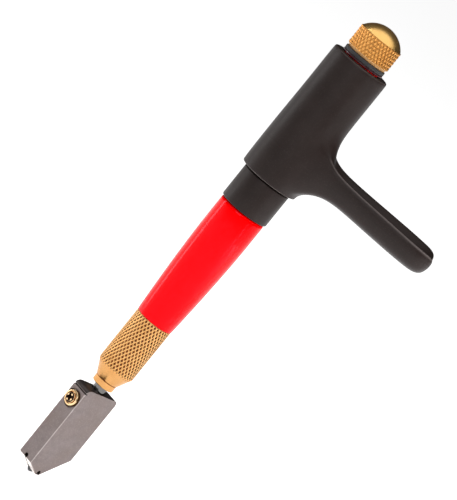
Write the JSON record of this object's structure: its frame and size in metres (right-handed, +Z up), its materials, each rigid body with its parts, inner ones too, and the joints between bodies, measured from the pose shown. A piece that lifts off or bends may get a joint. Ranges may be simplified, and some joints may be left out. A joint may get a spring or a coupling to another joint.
{
  "type": "glass cutter",
  "caption": "Hand-held oil-fed glass cutter with a swivelling block head, knurled nose and cap, tapered barrel and a turning T-shaped saddle grip.",
  "frame": {"origin": "where the tool's axis meets the glass, at the height of the cutting wheel's lowest point", "axes": "+Z up the tool's axis to the filler cap, +X along the saddle's arm, +Y completes the right-handed frame"},
  "size_m": [0.0614, 0.02, 0.1676],
  "materials": {
    "red_plastic": "gloss",
    "red_ring": "gloss",
    "black_plastic": "satin",
    "brass": "polished",
    "sintered_steel": "matte",
    "bright_steel": "satin",
    "black_rubber": "matte",
    "felt": "matte"
  },
  "bodies": {
    "barrel": {"barrel": "red_plastic", "sleeve": "black_plastic", "nose": "brass", "nose_seal": "black_rubber", "spring_plug": "brass", "top_ring": "red_ring", "saddle_ring": "black_rubber", "valve_spring": "bright_steel"},
    "saddle": {"saddle": "black_plastic"},
    "cap_gasket": {"cap_gasket": "black_rubber"},
    "filler_cap": {"filler_cap": "brass"},
    "stem": {"stem": "bright_steel", "valve_seal": "black_rubber", "spring_washer": "brass", "stem_wick": "felt"},
    "head": {"head_body": "sintered_steel", "head_wick": "felt", "wheel_axle": "bright_steel"},
    "head_screw": {"head_screw": "brass"},
    "cutting_wheel": {"cutting_wheel": "bright_steel"}
  },
  "joints": [
    {"name": "saddle_turn", "type": "hinge", "parent": "barrel", "child": "saddle", "pos_m": [0, 0, 0.13], "axis": [0, 0, 1], "continuous": true},
    {"name": "cap_lift", "type": "slide", "parent": "barrel", "child": "cap_gasket", "axis": [0, 0, 1], "range_m": [0, 0.0061]},
    {"name": "cap_turn", "type": "hinge", "parent": "cap_gasket", "child": "filler_cap", "pos_m": [0, 0, 0.16], "axis": [0, 0, 1], "range_deg": [0, 2160]},
    {"name": "stem_press", "type": "slide", "parent": "barrel", "child": "stem", "axis": [0, 0, 1], "range_m": [0, 0.0008], "stiffness_N_per_m": 1500, "springref_m": -0.002, "deforming": ["valve_spring"]},
    {"name": "head_swivel", "type": "hinge", "parent": "stem", "child": "head", "pos_m": [0, 0, 0.026], "axis": [0, 0, 1], "range_deg": [-15, 15]},
    {"name": "head_screw_turn", "type": "hinge", "parent": "head", "child": "head_screw", "pos_m": [-0.00446, -0.00571, 0.0265], "axis": [-0.6157, -0.788, 0], "range_deg": [-180, 180]},
    {"name": "wheel_spin", "type": "hinge", "parent": "head", "child": "cutting_wheel", "pos_m": [-0.0008, -0.00102, 0.002], "axis": [0.788, -0.6157, 0], "continuous": true}
  ],
  "couplings": [
    {"joint": "cap_lift", "follows": "cap_turn", "m_per_rad": 0.00015915}
  ]
}
